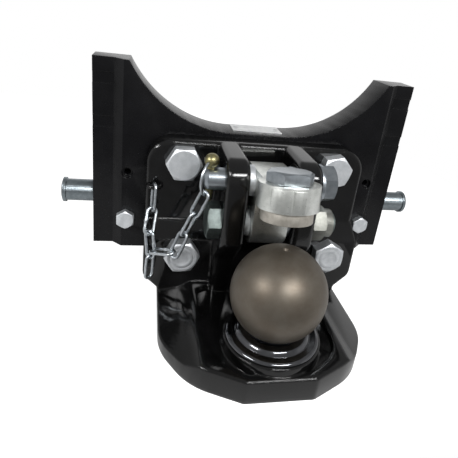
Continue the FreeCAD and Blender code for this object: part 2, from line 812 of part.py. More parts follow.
def make_locking_pin():
    """Headed pin through both cheeks and the arm, cross-drilled at its left end."""
    outer = cheek_outer()
    seat = outer + S.locking_washer_thickness
    straight = seat + S.locking_pin_end - S.locking_pin_chamfer
    shaft = cylinder(S.pin_diameter, straight + 1, (0, 0, -straight))
    tip = cone(S.pin_diameter - S.locking_pin_chamfer * 2, S.pin_diameter, S.locking_pin_chamfer,
               -straight - S.locking_pin_chamfer)
    solid = fuse(hex_head(S.bolt_flats, S.bolt_head), shaft, tip)
    hole = cylinder(S.lynch_diameter + S.lynch_clearance * 2, S.pin_diameter * 2)
    hole.Placement = FreeCAD.Placement(Vector(), Rotation(Vector(0, 1, 0), 90))
    bind(hole, Base_x=-S.pin_diameter, Base_z=S.lynch_x - seat)
    pin = finish_part(cut(solid, hole), "locking_pin")
    place(pin, seat, S.pin_row_y, S.locking_pin_height, FACING_RIGHT)
    ring = cut(cylinder(S.locking_washer_diameter, S.locking_washer_thickness),
               cylinder(S.pin_diameter + S.pin_running_clearance * 2, S.locking_washer_thickness))
    finish_part(ring, "locking_washer")
    place(ring, outer, S.pin_row_y, S.locking_pin_height, FACING_RIGHT)


def ring_rotation():
    """Turns a ring that lies flat so that it stands round the end of the locking pin."""
    stand = Rotation(Vector(0, 1, 0), 90)
    turn = Rotation(Vector(0, 0, 1), -S.ring_turn.value)
    return turn.multiply(stand)


def ring_centre():
    """The ring's wire runs through the middle of the lynch pin's head."""
    up = ring_rotation().multVec(Vector(-1, 0, 0))
    head = vec(S.lynch_x, S.pin_row_y, S.lynch_head_height)
    return head - up * S.ring_radius.value


def ring_torus(extra):
    torus = doc.addObject("Part::Torus", "Torus")
    bind(torus, Radius1=S.ring_radius, Radius2=S.ring_wire / 2 + extra)
    torus.Placement = FreeCAD.Placement(ring_centre(), ring_rotation())
    return torus


def make_lynch_pin():
    taper_start = S.lynch_tip + S.lynch_taper
    shaft = cylinder(S.lynch_diameter, S.lynch_top - taper_start, (S.lynch_x, S.pin_row_y, taper_start))
    tip = cone(S.lynch_tip_diameter, S.lynch_diameter, S.lynch_taper)
    bind(tip, Base_x=S.lynch_x, Base_y=S.pin_row_y, Base_z=S.lynch_tip)
    head = bind(doc.addObject("Part::Sphere", "Sphere"), Radius=S.lynch_head_diameter / 2,
                Base_x=S.lynch_x, Base_y=S.pin_row_y, Base_z=S.lynch_head_height)
    finish_part(cut(fuse(shaft, tip, head), ring_torus(S.ring_hole_clearance)), "lynch_pin")
    finish_part(ring_torus(0), "lynch_ring")


# Hold-down: cast arm between the cheeks, screw and pad above the ball


def put_on_boss(piece):
    """Moves a piece from the origin to the middle of the boss's top, leaning back with it."""
    return place(piece, 0, S.hold_down_y, S.boss_top, Rotation(Vector(1, 0, 0), -S.hold_down_tilt.value))


def boss_panel(left, right):
    """A bare raised panel on the front of the boss."""
    height = S.boss_height - S.panel_margin * 2
    skin = cylinder(S.boss_diameter + S.panel_height * 2, height, (0, 0, -S.boss_height + S.panel_margin))
    window = bind(doc.addObject("Part::Box", "Window"), Length=right - left, Width=S.boss_diameter,
                  Height=S.boss_height, Base_x=left, Base_y=-S.boss_diameter, Base_z=-S.boss_height)
    return common(skin, window)


def make_hold_down_arm():
    body = doc.addObject("PartDesign::Body", "arm_lever")
    lobe = S.arm_lobe_radius
    low = S.pivot_height - lobe
    profile = [
        (S.arm_front_y, low, S.arm_lobe_corner),
        (S.arm_front_y, S.neck_bottom, S.arm_neck_radius),
        (S.neck_root_y, S.neck_bottom_root),
        (S.neck_root_y, S.neck_top_root),
        (S.neck_top_y, S.neck_top),
        (S.arm_tail_y, S.arm_tail_top, S.arm_tail_radius),
        (S.arm_tail_y, S.arm_tail_bottom, S.arm_tail_radius),
        (S.arm_back_y, S.pivot_height + lobe, S.arm_tail_radius),
        (S.arm_back_y, low, S.arm_lobe_corner),
    ]
    width = S.arm_half_width * 2
    pad(body, outline_sketch(body, "arm_profile", "YZ_Plane", -S.arm_half_width, profile), width)
    bores = [(S.pin_row_y, S.locking_pin_height, S.bush_outer_diameter),
             (S.pin_row_y, S.pivot_height, S.bush_outer_diameter)]
    pocket(body, circle_sketch(body, "bush_bores", "YZ_Plane", S.arm_half_width + 1, bores), width + 2)
    boss = put_on_boss(fuse(cylinder(S.boss_diameter, S.boss_height, (0, 0, -S.boss_height)),
                            boss_panel(S.panel_left, S.panel_split - S.panel_gap),
                            boss_panel(S.panel_split, S.panel_right)))
    width = S.screw_diameter + S.boss_bore_clearance * 2
    bore = put_on_boss(fuse(cylinder(width, S.boss_height + 1, (0, 0, -S.boss_height - 1)), cylinder(width, 10)))
    finish_part(cut(fuse(body, boss), bore), "hold_down_arm")


def make_bushes():
    """Flanged bushes that centre the arm between the cheeks."""
    bore = S.pin_diameter + S.pin_running_clearance * 2
    for name, height in (("upper", S.locking_pin_height), ("lower", S.pivot_height)):
        for side, hand, rotation in ((-1, "left", FACING_LEFT), (1, "right", FACING_RIGHT)):
            sleeve = cylinder(S.bush_outer_diameter, S.bush_length, (0, 0, -S.bush_length))
            flange = cylinder(S.bush_flange_diameter, S.bush_flange_thickness)
            hole = cylinder(bore, S.bush_length + S.bush_flange_thickness, (0, 0, -S.bush_length))
            bush = finish_part(cut(fuse(sleeve, flange), hole), "bush_%s_%s" % (name, hand))
            place(bush, S.arm_half_width * side, S.pin_row_y, height, rotation)


def make_hold_down_screw():
    """The screw is tightened in the boss and holds the pad."""
    grip = S.boss_height + S.screw_grip_in_pad
    washer = cylinder(S.screw_flats, S.screw_washer_height)
    head = hex_head(S.screw_flats, S.screw_head - S.screw_washer_height, S.screw_washer_height)
    shank = cylinder(S.screw_diameter, grip + S.screw_washer_height, (0, 0, -grip))
    put_on_boss(finish_part(fuse(head, washer, shank), "hold_down_screw"))
    disc = cylinder(S.pad_diameter, S.pad_thickness, (0, 0, -S.boss_height - S.pad_thickness))
    bore = cylinder(S.screw_diameter, S.screw_grip_in_pad, (0, 0, -grip))
    put_on_boss(finish_part(cut(disc, bore), "hold_down_pad"))


# Chain from the eye on the flange to the ring


def link_solid(start, end, across):
    """One long link between the middles of its two end bends, with its width along across."""
    wire = S.link_wire.value / 2
    bend = S.link_width.value / 2 - wire
    along = (end - start).normalize()
    width = (across - along * across.dot(along)).normalize()
    normal = along.cross(width)
    pieces = []
    for tip, way in ((start, -1), (end, 1)):
        centre = tip - along * (way * bend)
        torus = Part.makeTorus(bend, wire, Vector(), Vector(0, 0, 1), 0, 360, 180)
        frame = FreeCAD.Matrix(width.x * way, along.x * way, normal.x, centre.x,
                               width.y * way, along.y * way, normal.y, centre.y,
                               width.z * way, along.z * way, normal.z, centre.z, 0, 0, 0, 1)
        torus.transformShape(frame)
        pieces.append(torus)
    length = (end - start).Length - bend * 2
    for side in (-1, 1):
        base = start + along * bend + width * (bend * side)
        pieces.append(Part.makeCylinder(wire, length, base, along))
    return pieces[0].multiFuse(pieces[1:]).removeSplitter()


def add_link(number, start, end, across):
    piece = doc.addObject("Part::Feature", "Link")
    piece.Shape = link_solid(start, end, across)
    finish_part(piece, "chain_link_%d" % number)


def unit(x, y, z):
    return Vector(x, y, z).normalize()


def link_bend():
    """Radius of a link's end bend at the middle of the wire."""
    return (S.link_width - S.link_wire).value / 2


def add_link_from(number, start, way, across):
    """A link whose first end has its wire at start; returns the centre of its other bend."""
    length = S.link_pitch.value + link_bend() - link_play()
    add_link(number, start, start + way * length, across)
    return start + way * (length - link_bend())


def link_play():
    """How far the wire of the next link lies from the centre of a bend."""
    return link_bend() - (S.link_wire + S.link_slack).value


def next_link(number, bend_centre, way, across):
    """A link that hangs in the bend of the one before it."""
    return add_link_from(number, bend_centre + way * link_play(), way, across)


def elbow(one, two, reach_one, reach_two, towards):
    """The point at a given reach from each of two points, on the side that is asked for."""
    along = two - one
    length = along.Length
    along.normalize()
    run = (reach_one ** 2 - reach_two ** 2 + length ** 2) / (2 * length)
    rise = math.sqrt(max(reach_one ** 2 - run ** 2, 0))
    side = (towards - along * towards.dot(along)).normalize()
    return one + along * run + side * rise


def hook_start(wire_centre, way, other_wire):
    """Where the first wire of a link lies when it hooks over another wire."""
    return wire_centre - way * ((other_wire + S.link_wire) / 2 + S.link_slack).value


def make_chain():
    """Three links down from the eye, one hanging free, four from the ring down to the third."""
    wire = S.link_wire.value
    eye_wire = vec(eye_x(), flange_face() - S.eye_reach.value, S.eye_z)
    lean = ((S.strand_end_x - eye_x()) / (S.link_pitch * 3)).value
    way = unit(-0.03 + lean, -0.19, -0.98)
    bend_centre = add_link_from(1, hook_start(eye_wire, way, S.eye_wire), way, Vector(-0.3, 1, 0))
    bend_centre = next_link(2, bend_centre, unit(-0.13 + lean, -0.45, -0.87), Vector(1, 0.45, 0))
    way = unit(0.1 + lean, -0.28, -0.95)
    third_across = Vector(1, -0.85, 0)
    bend_centre = next_link(3, bend_centre, way, third_across)
    next_link(4, bend_centre, unit(-0.04, 0.0, -1), Vector(0.8, 0.8, 0))
    right = (third_across - way * third_across.dot(way)).normalize()
    branch = bend_centre + right * link_play() - way * wire * 0.8

    turn = ring_rotation()
    angle = math.radians(S.ring_hook_angle.value)
    spoke = turn.multVec(Vector(math.sin(angle), -math.cos(angle), 0))
    tangent = turn.multVec(Vector(math.cos(angle), math.sin(angle), 0))
    hook = ring_centre() + spoke * S.ring_radius.value
    way = unit(-0.35, 0.10, -0.93)
    bend_centre = add_link_from(5, hook_start(hook, way, S.ring_wire), way, tangent.cross(way))
    bend_centre = next_link(6, bend_centre, unit(-0.34, 0.11, -0.93), Vector(1, 0.9, 0))
    reach = S.link_pitch.value + link_bend()
    corner = elbow(bend_centre, branch, S.link_pitch.value, reach, Vector(0.5, -0.7, -0.5))
    next_link(7, bend_centre, (corner - bend_centre).normalize(), Vector(1, -0.8, 0))
    next_link(8, corner, (branch - corner).normalize(), Vector(0.3, 1, 0))


def flange_face():
    return (S.bracket_back - S.flange_thickness).value


def eye_x():
    return S.eye_from_bracket_end - S.bracket_half_width


def make_chain_eye():
    """A bent wire welded to the face of the flange."""
    half, reach, wire = S.eye_half_span.value, S.eye_reach.value, S.eye_wire.value
    centre = vec(eye_x(), flange_face() - S.eye_reach + S.eye_half_span, S.eye_z)
    arch = Part.makeTorus(half, wire / 2, Vector(), Vector(0, 0, 1), 0, 360, 180)
    arch.rotate(Vector(), Vector(0, 0, 1), 180)
    arch.translate(centre)
    legs = [Part.makeCylinder(wire / 2, reach - half, centre + Vector(half * side, 0, 0), Vector(0, 1, 0))
            for side in (-1, 1)]
    piece = doc.addObject("Part::Feature", "Eye")
    piece.Shape = arch.multiFuse(legs).removeSplitter()
    finish_part(piece, "chain_eye")


def check_and_write():
    doc.recompute()
    for thing in doc.Objects:
        if "Invalid" in thing.State or "Error" in thing.State:
            raise RuntimeError("%s did not build" % thing.Label)
    os.makedirs("parts", exist_ok=True)
    for label, thing in parts.items():
        shape = thing.Shape
        if shape.isNull() or not shape.isValid():
            raise RuntimeError("%s has no sound shape" % label)
        if len(shape.Solids) != 1:
            raise RuntimeError("%s has %d solids" % (label, len(shape.Solids)))
        print("%-26s %10.1f mm3 %4d faces" % (label, shape.Volume, len(shape.Faces)))
    for label, thing in parts.items():
        thing.Shape.exportStep("parts/%s.step" % label)


make_tow_ball()
make_ball_nut()
make_ball_bracket()
make_carrier_plate()
make_nameplate()
make_rivets()
make_flange_bolts()
make_side_bolts()
make_side_pins()
make_pivot()
make_locking_pin()
make_lynch_pin()
make_hold_down_arm()
make_bushes()
make_hold_down_screw()
make_chain_eye()
make_chain()
check_and_write()
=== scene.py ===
# %% [markdown]
# # A tractor's ball hitch on its carrier plate
# A thick black plate slides into the tractor's hitch frame. A cast bracket is bolted to it and
# carries an 80 mm ball, and a cast arm above the ball holds the trailer's cup down. The solids
# come ready made, each in its place. This lesson gives them their looks: rounded edges, turned and
# forged shapes, and metals that are painted, plated, machined or left as cast.

import json
import math

import bmesh
import bpy
import numpy as np
from mathutils import Matrix, Vector


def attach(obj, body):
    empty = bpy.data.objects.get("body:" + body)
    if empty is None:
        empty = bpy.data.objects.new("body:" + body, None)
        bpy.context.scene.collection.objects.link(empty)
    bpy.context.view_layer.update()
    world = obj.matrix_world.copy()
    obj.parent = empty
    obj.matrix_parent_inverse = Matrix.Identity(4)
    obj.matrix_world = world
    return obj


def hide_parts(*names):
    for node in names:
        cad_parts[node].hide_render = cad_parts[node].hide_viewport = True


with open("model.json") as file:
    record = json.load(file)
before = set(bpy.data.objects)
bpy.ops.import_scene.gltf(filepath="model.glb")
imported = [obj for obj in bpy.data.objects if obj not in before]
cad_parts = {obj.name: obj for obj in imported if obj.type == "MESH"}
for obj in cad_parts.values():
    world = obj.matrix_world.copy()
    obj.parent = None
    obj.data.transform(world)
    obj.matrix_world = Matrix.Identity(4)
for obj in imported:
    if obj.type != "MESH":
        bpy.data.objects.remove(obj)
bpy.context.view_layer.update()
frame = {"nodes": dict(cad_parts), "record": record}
MM = 0.001
print("solids loaded:", len(frame["nodes"]))

# %% [markdown]
# ## Colours and nodes
# Paint and plating are matched to hex colours as a screen shows them. Blender's shaders work in
# linear light, so one function turns a hex colour into linear numbers. A second small function
# adds a node, sets it and links it, and every material below is made with these two.


# %% Colour and node helpers
def linear(hex_colour):
    """An sRGB hex colour as linear red, green, blue and alpha."""
    channels = [int(hex_colour[i:i + 2], 16) / 255 for i in (1, 3, 5)]
    return [c / 12.92 if c <= 0.04045 else ((c + 0.055) / 1.055) ** 2.4 for c in channels] + [1.0]


def add_node(tree, kind, inputs=None, **settings):
    """A node with its settings, whose inputs are numbers or other nodes' outputs."""
    node = tree.nodes.new(kind)
    for name, value in settings.items():
        setattr(node, name, value)
    for name, value in (inputs or {}).items():
        if isinstance(value, bpy.types.NodeSocket):
            tree.links.new(value, node.inputs[name])
        else:
            node.inputs[name].default_value = value
    return node


def per_mm(size):
    """The noise scale whose features are about this many millimetres across."""
    return 1 / (size * MM)


def new_material(name):
    """An empty material with its shader, its tree and the coordinates of the object."""
    material = bpy.data.materials.new(name)
    material.use_nodes = True
    tree = material.node_tree
    tree.nodes.clear()
    shader = add_node(tree, "ShaderNodeBsdfPrincipled")
    add_node(tree, "ShaderNodeOutputMaterial", {"Surface": shader.outputs["BSDF"]})
    place = add_node(tree, "ShaderNodeTexCoord").outputs["Object"]
    return material, tree, shader, place


print("white is", linear("#ffffff"))

# %% [markdown]
# ## The camera
# The photograph was taken from in front, a little to the left and above, with a normal lens. The
# camera stands where the edges of the plate and the outline of the ball agree with the picture,
# and a small shift puts the hitch at its place in the frame.

# %% Camera
# The place is in mm. The directions are where the camera looks, and the picture's right and top.
CAMERA_PLACE = Vector((-109.83, -292.54, 208.52)) * MM
CAMERA_AHEAD = Vector((0.22026, 0.89936, -0.37768))
CAMERA_RIGHT = Vector((0.97473, -0.18811, 0.12051))
CAMERA_UP = Vector((-0.03734, 0.39468, 0.91806))
FOCAL_PIXELS = 448.2
FRAME_PIXELS = 458
CENTRE_PIXEL = (245.86, 194.28)
SENSOR_WIDTH = 36.0

camera_data = bpy.data.cameras.new("camera")
camera_data.sensor_width = SENSOR_WIDTH
camera_data.lens = SENSOR_WIDTH * FOCAL_PIXELS / FRAME_PIXELS
camera_data.shift_x = (FRAME_PIXELS / 2 - CENTRE_PIXEL[0]) / FRAME_PIXELS
camera_data.shift_y = (CENTRE_PIXEL[1] - FRAME_PIXELS / 2) / FRAME_PIXELS
camera_data.clip_start = 0.01
camera_data.clip_end = 20.0
camera = bpy.data.objects.new("camera", camera_data)
turn = Matrix((CAMERA_RIGHT, CAMERA_UP, -CAMERA_AHEAD)).transposed()
camera.matrix_world = Matrix.Translation(CAMERA_PLACE) @ turn.to_4x4()
bpy.context.scene.collection.objects.link(camera)
bpy.context.scene.camera = camera
print("lens", round(camera_data.lens, 2), "mm, shift", round(camera_data.shift_x, 4),
      round(camera_data.shift_y, 4))

# %% [markdown]
# ## Floor, white surround and lamps
# A catalogue picture has a white surround. The floor and the world show that white to the camera,
# while they light the hitch at a plain level, so that black stays black. In shiny metal the white
# stands behind the hitch and, dimmer, beside it, but not overhead: the level tops of the casting
# shine pale grey, because at a flat angle they mirror the wall behind. Below the horizon the room
# is a little darker, as the floor there lies in the hitch's own shade.
# Two soft lights on the ball tell where the lamps stood: one to the left, and a stronger one in
# front and to the right. They are low and wide, so that rounded edges show them as thin dashes.

# %% Floor
FLOOR_HEIGHT = -72.0 * MM
FLOOR_GAP = 0.3 * MM
FLOOR_FRONT = -0.10
FLOOR_BACK = 1.0
FLOOR_SIDE = 0.5
PAPER_GLOW = 0.8
PAPER_IN_METAL = 0.1

corners = [(-FLOOR_SIDE, FLOOR_FRONT, 0), (FLOOR_SIDE, FLOOR_FRONT, 0),
           (FLOOR_SIDE, FLOOR_BACK, 0), (-FLOOR_SIDE, FLOOR_BACK, 0)]
mesh = bpy.data.meshes.new("floor")
mesh.from_pydata(corners, [], [(0, 1, 2, 3)])
floor = bpy.data.objects.new("floor", mesh)
floor.location.z = FLOOR_HEIGHT - FLOOR_GAP
bpy.context.scene.collection.objects.link(floor)

# Studio paper is matt, so it takes the hitch's shadow without a shine of its own.
paper, tree, shader, _ = new_material("white_studio_paper")
shader.inputs["Base Color"].default_value = linear("#c8c8c8")
shader.inputs["Roughness"].default_value = 0.9
shader.inputs["Emission Color"].default_value = linear("#ffffff")
rays = add_node(tree, "ShaderNodeLightPath")
seen = add_node(tree, "ShaderNodeMath",
                {0: rays.outputs["Is Camera Ray"], 1: rays.outputs["Is Transmission Ray"]},
                operation="MAXIMUM")
dimmer = add_node(tree, "ShaderNodeMath",
                  {0: rays.outputs["Is Glossy Ray"], 1: PAPER_IN_METAL}, operation="MULTIPLY")
shown = add_node(tree, "ShaderNodeMath",
                 {0: seen.outputs[0], 1: dimmer.outputs[0]}, operation="MAXIMUM")
glow = add_node(tree, "ShaderNodeMath",
                {0: shown.outputs[0], 1: PAPER_GLOW}, operation="MULTIPLY")
tree.links.new(glow.outputs[0], shader.inputs["Emission Strength"])
floor.data.materials.append(paper)
print("floor:", 2 * FLOOR_SIDE, "m wide,", FLOOR_BACK - FLOOR_FRONT, "m deep")

# %% White surround
# A pair says where a wall begins to show and where it is full, as one part of a direction of
# length 1: Y is straight behind, X is beside, and Z is up.
ROOM_LIGHT = 0.38
BELOW_LIGHT = 0.7
HORIZON = (-0.3, 0.05)
WALL_BEHIND = (0.35, 0.8)
WALL_BESIDE = (0.6, 0.9)
BESIDE_LIGHT = 0.6
WALL_TOP = (0.5, 0.85)

world = bpy.data.worlds.new("studio")
bpy.context.scene.world = world
world.use_nodes = True
tree = world.node_tree
tree.nodes.clear()
rays = add_node(tree, "ShaderNodeLightPath")
seen = add_node(tree, "ShaderNodeMath",
                {0: rays.outputs["Is Camera Ray"], 1: rays.outputs["Is Transmission Ray"]},
                operation="MAXIMUM")
sky = add_node(tree, "ShaderNodeTexCoord").outputs["Generated"]
towards = add_node(tree, "ShaderNodeSeparateXYZ", {"Vector": sky})
behind = add_node(tree, "ShaderNodeMapRange",
                  {"Value": towards.outputs["Y"], "From Min": WALL_BEHIND[0],
                   "From Max": WALL_BEHIND[1]})
aside = add_node(tree, "ShaderNodeMath", {0: towards.outputs["X"]}, operation="ABSOLUTE")
beside = add_node(tree, "ShaderNodeMapRange",
                  {"Value": aside.outputs[0], "From Min": WALL_BESIDE[0],
                   "From Max": WALL_BESIDE[1], "To Max": BESIDE_LIGHT})
around = add_node(tree, "ShaderNodeMath",
                  {0: behind.outputs[0], 1: beside.outputs[0]}, operation="MAXIMUM")
below = add_node(tree, "ShaderNodeMapRange",
                 {"Value": towards.outputs["Z"], "From Min": WALL_TOP[0],
                  "From Max": WALL_TOP[1], "To Min": 1.0, "To Max": 0.0})
wall = add_node(tree, "ShaderNodeMath",
                {0: around.outputs[0], 1: below.outputs[0]}, operation="MULTIPLY")
mirrored = add_node(tree, "ShaderNodeMath",
                    {0: rays.outputs["Is Glossy Ray"], 1: wall.outputs[0]}, operation="MULTIPLY")
shown = add_node(tree, "ShaderNodeMath",
                 {0: seen.outputs[0], 1: mirrored.outputs[0]}, operation="MAXIMUM")
shade = add_node(tree, "ShaderNodeMapRange",
                 {"Value": towards.outputs["Z"], "From Min": HORIZON[0], "From Max": HORIZON[1],
                  "To Min": BELOW_LIGHT * ROOM_LIGHT, "To Max": ROOM_LIGHT})
strength = add_node(tree, "ShaderNodeMath",
                    {0: shown.outputs[0], 1: shade.outputs[0]}, operation="MAXIMUM")
white = add_node(tree, "ShaderNodeBackground",
                 {"Color": linear("#ffffff"), "Strength": strength.outputs[0]})
add_node(tree, "ShaderNodeOutputWorld", {"Surface": white.outputs[0]})
bpy.context.scene.view_settings.view_transform = "Standard"
print("room light", ROOM_LIGHT, "and", round(BELOW_LIGHT * ROOM_LIGHT, 3), "below the horizon")


# %% Lamps
def soft_lamp(name, place, aim, width, height, watts):
    """A flat area lamp that looks at a point, all in metres."""
    data = bpy.data.lights.new(name, "AREA")
    data.shape = "RECTANGLE"
    data.size = width
    data.size_y = height
    data.energy = watts
    lamp = bpy.data.objects.new(name, data)
    lamp.location = place
    lamp.rotation_mode = "QUATERNION"
    lamp.rotation_quaternion = (Vector(aim) - Vector(place)).to_track_quat("-Z", "Y")
    bpy.context.scene.collection.objects.link(lamp)


soft_lamp("left_side", (-0.83, -0.40, 0.60), (0, 0, 0), width=0.40, height=0.14, watts=5.6)
soft_lamp("right_front", (0.25, -0.79, 0.76), (0, 0, 0), width=0.62, height=0.15, watts=10.8)

# %% [markdown]
# ## Satin black enamel on the carrier plate
# The plate is flame cut and machined steel under one coat of satin enamel. The coat is smooth, with
# a faint orange peel some 2 mm across, and a little greyer where it was rubbed. One flat black
# would make the plate a cut-out, so noise varies its tone, its gloss and its surface. The shader is
# a dielectric one, which gives paint's soft sheen. A Bevel node rounds the edges for the light
# alone, so they catch it as a thin line, and the shape stays as it is.


# %% Black enamel
RUBBED_SIZE = 28
DUST_SIZE = 6


def black_enamel(name, colour, worn, roughness, peel, peel_size, ior, edge_radius):
    """Black paint on metal: its colour, rubbed tone, gloss and skin, with its sizes in mm."""
    material, tree, shader, place = new_material(name)
    cloud = add_node(tree, "ShaderNodeTexNoise",
                     {"Vector": place, "Scale": per_mm(RUBBED_SIZE), "Detail": 6.0, "Roughness": 0.6})
    rubbed = add_node(tree, "ShaderNodeMapRange",
                      {"Value": cloud.outputs["Fac"], "From Min": 0.42, "From Max": 0.75})
    tone = add_node(tree, "ShaderNodeMix",
                    {"Factor": rubbed.outputs[0], "A": linear(colour), "B": linear(worn)},
                    data_type="RGBA")
    tree.links.new(tone.outputs["Result"], shader.inputs["Base Color"])
    dust = add_node(tree, "ShaderNodeTexNoise",
                    {"Vector": place, "Scale": per_mm(DUST_SIZE), "Detail": 8.0, "Roughness": 0.7})
    gloss = add_node(tree, "ShaderNodeMapRange",
                     {"Value": dust.outputs["Fac"], "To Min": roughness - 0.05, "To Max": roughness + 0.08})
    tree.links.new(gloss.outputs[0], shader.inputs["Roughness"])
    skin = add_node(tree, "ShaderNodeTexNoise",
                    {"Vector": place, "Scale": per_mm(peel_size), "Detail": 4.0, "Roughness": 0.55})
    edge = add_node(tree, "ShaderNodeBevel", {"Radius": edge_radius * MM}, samples=6)
    bump = add_node(tree, "ShaderNodeBump",
                    {"Height": skin.outputs["Fac"], "Strength": 0.35, "Distance": peel * MM,
                     "Normal": edge.outputs["Normal"]})
    tree.links.new(bump.outputs[0], shader.inputs["Normal"])
    shader.inputs["IOR"].default_value = ior
    return material


# Satin enamel: an even near-black whose lights are wide and soft. Paint bends light by about 1.5,
# and this is lowered until the plate mirrors as little as in the picture.
plate_enamel = black_enamel("satin_black_enamel", "#08080a", "#101012", roughness=0.26,
                            peel=0.08, peel_size=2.2, ior=1.30, edge_radius=1.0)
print("paint of the plate:", plate_enamel.name)

# %% [markdown]
# ## Black paint over cast iron
# The bracket was cast in sand, so its skin has low bumps of about 3 mm with finer grain on them.
# The glossy paint fills most of it, so its long highlights only break up a little. Every edge of a
# casting is rounded by some millimetres, which the Bevel node shows as a bright dash. It is the
# plate's paint with less roughness and larger bumps, so the same function makes it.

# %% Painted casting
# Gloss paint on a cast skin: deep black, with narrow, bright and slightly broken lights.
casting_paint = black_enamel("gloss_black_cast_iron", "#080808", "#0f0f10", roughness=0.07,
                             peel=0.09, peel_size=3.2, ior=1.46, edge_radius=3.0)
print("paint of the bracket:", casting_paint.name)

# %% [markdown]
# ## Zinc plating, turned steel and other metals
# Screws, nuts, pins, ring and chain are electroplated with zinc: a pale, slightly blue grey metal
# with cloudy patches and fine scratches. A clean mirror would only show the empty room, so clouds
# vary the tone, and a grain breaks up the gloss. The same function makes the yellow chromated pin,
# the dull pad, the ball with its collar, the cast arm and the nameplate, in other colours and gloss.


# %% Plated metals
def plated_metal(name, colour, cloud_colour, roughness, cloud_size, grain, grain_size, metallic=1.0):
    """Metal with clouds of a second tone and a fine grain in its gloss and surface, sizes in mm."""
    material, tree, shader, place = new_material(name)
    cloud = add_node(tree, "ShaderNodeTexNoise",
                     {"Vector": place, "Scale": per_mm(cloud_size), "Detail": 5.0, "Roughness": 0.62})
    patch = add_node(tree, "ShaderNodeMapRange",
                     {"Value": cloud.outputs["Fac"], "From Min": 0.35, "From Max": 0.68})
    tone = add_node(tree, "ShaderNodeMix",
                    {"Factor": patch.outputs[0], "A": linear(colour), "B": linear(cloud_colour)},
                    data_type="RGBA")
    tree.links.new(tone.outputs["Result"], shader.inputs["Base Color"])
    fine = add_node(tree, "ShaderNodeTexNoise",
                    {"Vector": place, "Scale": per_mm(grain_size), "Detail": 6.0, "Roughness": 0.7})
    gloss = add_node(tree, "ShaderNodeMapRange",
                     {"Value": fine.outputs["Fac"], "To Min": roughness - 0.08, "To Max": roughness + 0.12})
    tree.links.new(gloss.outputs[0], shader.inputs["Roughness"])
    bump = add_node(tree, "ShaderNodeBump",
                    {"Height": fine.outputs["Fac"], "Strength": 0.3, "Distance": grain * MM})
    tree.links.new(bump.outputs[0], shader.inputs["Normal"])
    shader.inputs["Metallic"].default_value = metallic
    return material


# After the two colours come the roughness, the size of the clouds, the depth and size of the grain.
# Bright zinc: a pale blue grey that mirrors softly.
zinc_plate = plated_metal("bright_zinc_plated_steel", "#a9afb4", "#8f969c", 0.30, 7, 0.05, 0.9)
# Dull zinc on the big screws: whiter, and too rough to mirror anything.
zinc_dull = plated_metal("dull_zinc_plated_steel", "#e6e9ec", "#d4d8db", 0.50, 6, 0.08, 0.8)
# Zinc flake on the pivot nut: a warm even grey, nearly matt.
zinc_flake = plated_metal("zinc_flake_coated_steel", "#9a9b95", "#868781", 0.46, 5, 0.06, 0.8)
# Turned side pins under thin zinc: darker, with a tighter shine than a nut.
zinc_turned = plated_metal("zinc_plated_turned_steel", "#8f979b", "#7a8287", 0.34, 5, 0.04, 0.7)
# Drawn wire of the chain and the ring: the smoothest zinc here, so it glints.
zinc_wire = plated_metal("bright_zinc_plated_wire", "#c9ced2", "#adb3b8", 0.27, 4, 0.03, 0.6)
# The cast arm under zinc: white metal, whose sandy skin breaks the shine into speckles.
zinc_casting = plated_metal("zinc_plated_casting", "#e9ebe7", "#cdd0cb", 0.28, 9, 0.17, 1.2, 0.95)
# Zinc on the pivot bolt, darker and greener than the rest, and matt.
zinc_grey = plated_metal("dark_greenish_zinc_plated_steel", "#767e7c", "#5f6765", 0.46, 4, 0.06, 0.8)
# Yellow chromate on the lynch pin: brassy where it is whole, grey where it has worn off.
yellow_zinc = plated_metal("worn_yellow_chromated_zinc", "#a39a6c", "#77755f", 0.36, 2.2, 0.08, 0.7)
# The rolled steel of the pad: a warm dull grey.
pad_steel = plated_metal("dull_rolled_steel", "#c8c3ba", "#b0aba1", 0.46, 5, 0.06, 0.85)
# The collar, turned and blackened: dark, and smooth enough for one clear light.
collar_steel = plated_metal("blackened_turned_steel", "#6a6b6e", "#58595c", 0.10, 8, 0.01, 0.8)
# The forged ball: matt brown, because phosphate covers a part of the metal.
ball_steel = plated_metal("phosphated_forged_steel", "#69635a", "#5f574d", 0.42, 16, 0.04, 1.0, 0.75)
# The nameplate, brushed too finely for a stroke to show: an even silver sheen.
brushed_aluminium = plated_metal("brushed_aluminium", "#e2e3e3", "#d2d3d4", 0.38, 6, 0.02, 0.5)
print("metals:", [m.name for m in bpy.data.materials if "steel" in m.name or "zinc" in m.name])

# %% [markdown]
# ## Rounded edges
# A real edge is never sharp: a file, a wheel or the mould rounds it by some tenths of a millimetre,
# and the round catches a thin light. Each solid is copied, its flat facets are joined again, and a
# Bevel modifier rounds every edge that is sharper than 22 degrees. The copy stands for the solid.


# %% Dressing a solid
SHARP_EDGE = math.radians(22)
FLAT_ENOUGH = math.radians(0.5)
SAME_POINT = 0.002 * MM


def body_of_node(node):
    """The name of the body that a node moves with."""
    for body, nodes in frame["record"]["behaviour"]["bodies"].items():
        if node in nodes:
            return body
    return "root"


def piece(name, mesh, material, body, *stands_for):
    """Links a finished mesh as a piece of the object, riding on its body."""
    thing = bpy.data.objects.new(name, mesh)
    bpy.context.scene.collection.objects.link(thing)
    mesh.materials.clear()
    mesh.materials.append(material)
    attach(thing, body)
    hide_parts(*stands_for)
    return thing


def round_edges(thing, name, width, segments):
    """A Bevel modifier for the sharp edges of a piece, with its width in mm."""
    bevel = thing.modifiers.new(name, "BEVEL")
    bevel.width = width * MM
    bevel.segments = segments
    bevel.limit_method = "ANGLE"
    bevel.angle_limit = SHARP_EDGE
    bevel.use_clamp_overlap = True
    bevel.harden_normals = True


